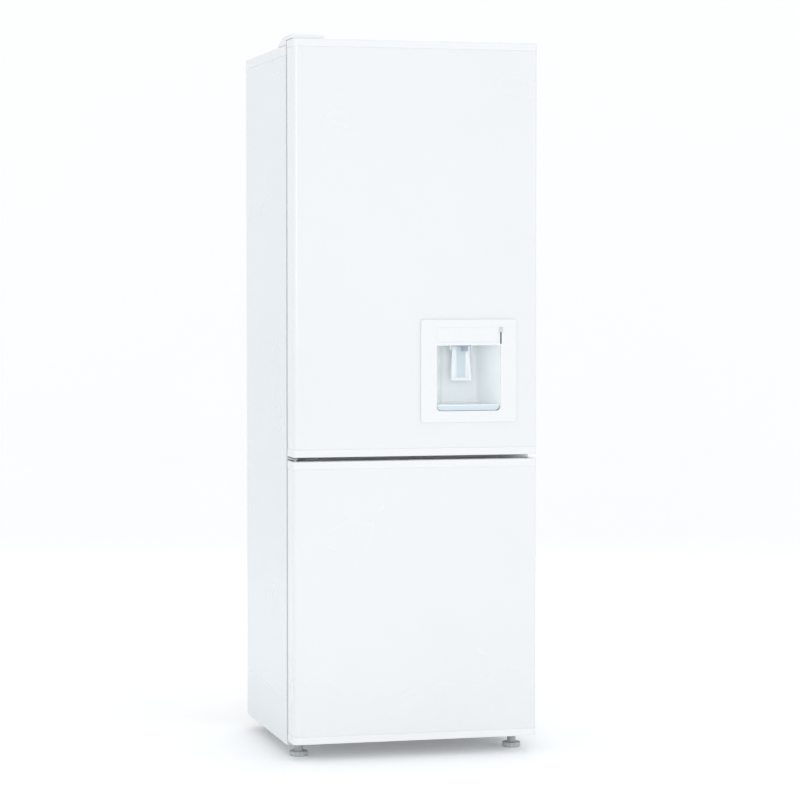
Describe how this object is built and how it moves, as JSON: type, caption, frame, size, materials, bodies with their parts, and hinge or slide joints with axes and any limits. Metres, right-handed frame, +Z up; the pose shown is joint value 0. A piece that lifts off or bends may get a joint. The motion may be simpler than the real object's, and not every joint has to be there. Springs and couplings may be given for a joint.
{
  "type": "refrigerator",
  "caption": "Tall free-standing refrigerator with a freezer below, two flat hinged doors and a water dispenser recessed in the upper door.",
  "frame": {"origin": "on the floor at the centre of the overall footprint", "axes": "+Z up; the doors face -Y; +X is to the right for someone facing the doors"},
  "size_m": [0.6, 0.6115, 1.715],
  "materials": {
    "white_enamel": "gloss white stoved enamel on sheet steel",
    "zinc_steel": "zinc-plated sheet steel, dull",
    "white_plastic": "smooth moulded white plastic",
    "grey_plastic": "fine-grained pale grey plastic",
    "liner_plastic": "vacuum-formed white polystyrene, soft gloss",
    "niche_plastic": "pale blue-grey moulded plastic, satin",
    "foam": "rigid polyurethane foam, cream",
    "gasket_rubber": "soft pale grey vinyl",
    "dark_rubber": "matt black rubber",
    "shelf_glass": "toughened clear glass with a green edge",
    "clear_plastic": "clear polystyrene",
    "frosted_plastic": "frosted diffuser",
    "coated_steel": "white powder-coated steel tube and wire",
    "black_steel": "satin black paint",
    "copper": "drawn copper with brazed joints",
    "black_plastic": "black moulded plastic"
  },
  "bodies": {
    "cabinet": {"left_side_panel": "white_enamel", "right_side_panel": "white_enamel", "back_panel": "zinc_steel", "top_cover": "grey_plastic", "cabinet_foam": "foam", "fridge_liner": "liner_plastic", "freezer_liner": "liner_plastic", "divider_strip": "white_enamel", "base_frame": "zinc_steel", "top_hinge": "zinc_steel", "middle_hinge": "zinc_steel", "bottom_hinge": "zinc_steel", "hinge_screws": "zinc_steel", "hinge_cover": "grey_plastic", "glass_shelves": "shelf_glass", "shelf_trims": "white_plastic", "control_box": "white_plastic", "lamp_lens": "frosted_plastic", "evaporator_shelves": "coated_steel", "condenser": "black_steel", "compressor": "black_steel", "compressor_mounts": "dark_rubber", "relay_cover": "black_plastic", "evaporation_tray": "grey_plastic", "refrigerant_pipes": "copper", "cord_gland": "black_plastic"},
    "upper_door": {"upper_door_skin": "white_enamel", "upper_door_foam": "foam", "upper_door_liner": "liner_plastic", "upper_door_gasket": "gasket_rubber", "upper_door_caps": "white_plastic", "upper_door_grip": "grey_plastic", "dispenser_bezel": "white_plastic", "dispenser_niche": "niche_plastic", "dispenser_spout": "grey_plastic", "water_tank": "clear_plastic", "tank_lid": "white_plastic", "door_bins": "clear_plastic", "bottle_bin": "clear_plastic"},
    "lower_door": {"lower_door_skin": "white_enamel", "lower_door_foam": "foam", "lower_door_liner": "liner_plastic", "lower_door_gasket": "gasket_rubber", "lower_door_caps": "white_plastic", "lower_door_grip": "grey_plastic"},
    "paddle": {"dispenser_paddle": "niche_plastic"},
    "lock_slider": {"dispenser_lock": "grey_plastic"},
    "drip_tray": {"dispenser_tray": "grey_plastic", "dispenser_grille": "grey_plastic"},
    "filling_flap": {"tank_flap": "white_plastic"},
    "dial": {"thermostat_dial": "white_plastic"},
    "lamp_switch": {"door_switch": "white_plastic"},
    "crisper": {"crisper_drawer": "clear_plastic"},
    "drawer_upper": {"freezer_drawer_upper": "clear_plastic"},
    "drawer_middle": {"freezer_drawer_middle": "clear_plastic"},
    "drawer_lower": {"freezer_drawer_lower": "clear_plastic"},
    "foot_left": {"front_foot_left": "grey_plastic"},
    "foot_right": {"front_foot_right": "grey_plastic"},
    "roller_left": {"rear_roller_left": "black_plastic"},
    "roller_right": {"rear_roller_right": "black_plastic"}
  },
  "joints": [
    {"name": "upper_door_hinge", "type": "hinge", "parent": "cabinet", "child": "upper_door", "pos_m": [-0.286, -0.26125, 1.2], "axis": [0, 0, -1], "range_deg": [0, 135]},
    {"name": "lower_door_hinge", "type": "hinge", "parent": "cabinet", "child": "lower_door", "pos_m": [-0.286, -0.26125, 0.38], "axis": [0, 0, -1], "range_deg": [0, 135]},
    {"name": "paddle_pivot", "type": "hinge", "parent": "upper_door", "child": "paddle", "pos_m": [0.1275, -0.23125, 0.977], "axis": [1, 0, 0], "range_deg": [0, 12], "stiffness_Nm_per_rad": 0.6, "springref_deg": -8.59},
    {"name": "lock_slide", "type": "slide", "parent": "upper_door", "child": "lock_slider", "axis": [0, 0, -1], "range_m": [0, 0.024]},
    {"name": "tray_slide", "type": "slide", "parent": "upper_door", "child": "drip_tray", "axis": [0, -1, 0], "range_m": [0, 0.072]},
    {"name": "flap_pivot", "type": "hinge", "parent": "upper_door", "child": "filling_flap", "pos_m": [0.1275, -0.21225, 1.2015], "axis": [1, 0, 0], "range_deg": [0, 100]},
    {"name": "thermostat_turn", "type": "hinge", "parent": "cabinet", "child": "dial", "pos_m": [0.156, -0.08875, 1.599], "axis": [0, 1, 0], "range_deg": [0, 270]},
    {"name": "lamp_switch_slide", "type": "slide", "parent": "cabinet", "child": "lamp_switch", "axis": [0, -1, 0], "range_m": [0, 0.006]},
    {"name": "crisper_slide", "type": "slide", "parent": "cabinet", "child": "crisper", "axis": [0, -1, 0], "range_m": [0, 0.2]},
    {"name": "drawer_upper_slide", "type": "slide", "parent": "cabinet", "child": "drawer_upper", "axis": [0, -1, 0], "range_m": [0, 0.21]},
    {"name": "drawer_middle_slide", "type": "slide", "parent": "cabinet", "child": "drawer_middle", "axis": [0, -1, 0], "range_m": [0, 0.21]},
    {"name": "drawer_lower_slide", "type": "slide", "parent": "cabinet", "child": "drawer_lower", "axis": [0, -1, 0], "range_m": [0, 0.15]},
    {"name": "foot_left_turn", "type": "hinge", "parent": "cabinet", "child": "foot_left", "pos_m": [-0.266, -0.19725, 0.03], "axis": [0, 0, 1], "continuous": true},
    {"name": "foot_right_turn", "type": "hinge", "parent": "cabinet", "child": "foot_right", "pos_m": [0.266, -0.19725, 0.03], "axis": [0, 0, 1], "continuous": true},
    {"name": "roller_left_spin", "type": "hinge", "parent": "cabinet", "child": "roller_left", "pos_m": [-0.25, 0.21575, 0.014], "axis": [1, 0, 0], "continuous": true},
    {"name": "roller_right_spin", "type": "hinge", "parent": "cabinet", "child": "roller_right", "pos_m": [0.25, 0.21575, 0.014], "axis": [1, 0, 0], "continuous": true}
  ],
  "couplings": [
    {"joint": "lamp_switch_slide", "follows": "upper_door_hinge", "m_per_rad": 0.0025},
    {"joint": "crisper_slide", "follows": "upper_door_hinge", "m_per_rad": 0.08446},
    {"joint": "drawer_upper_slide", "follows": "lower_door_hinge", "m_per_rad": 0.0887},
    {"joint": "drawer_middle_slide", "follows": "lower_door_hinge", "m_per_rad": 0.0887},
    {"joint": "drawer_lower_slide", "follows": "lower_door_hinge", "m_per_rad": 0.06324}
  ]
}
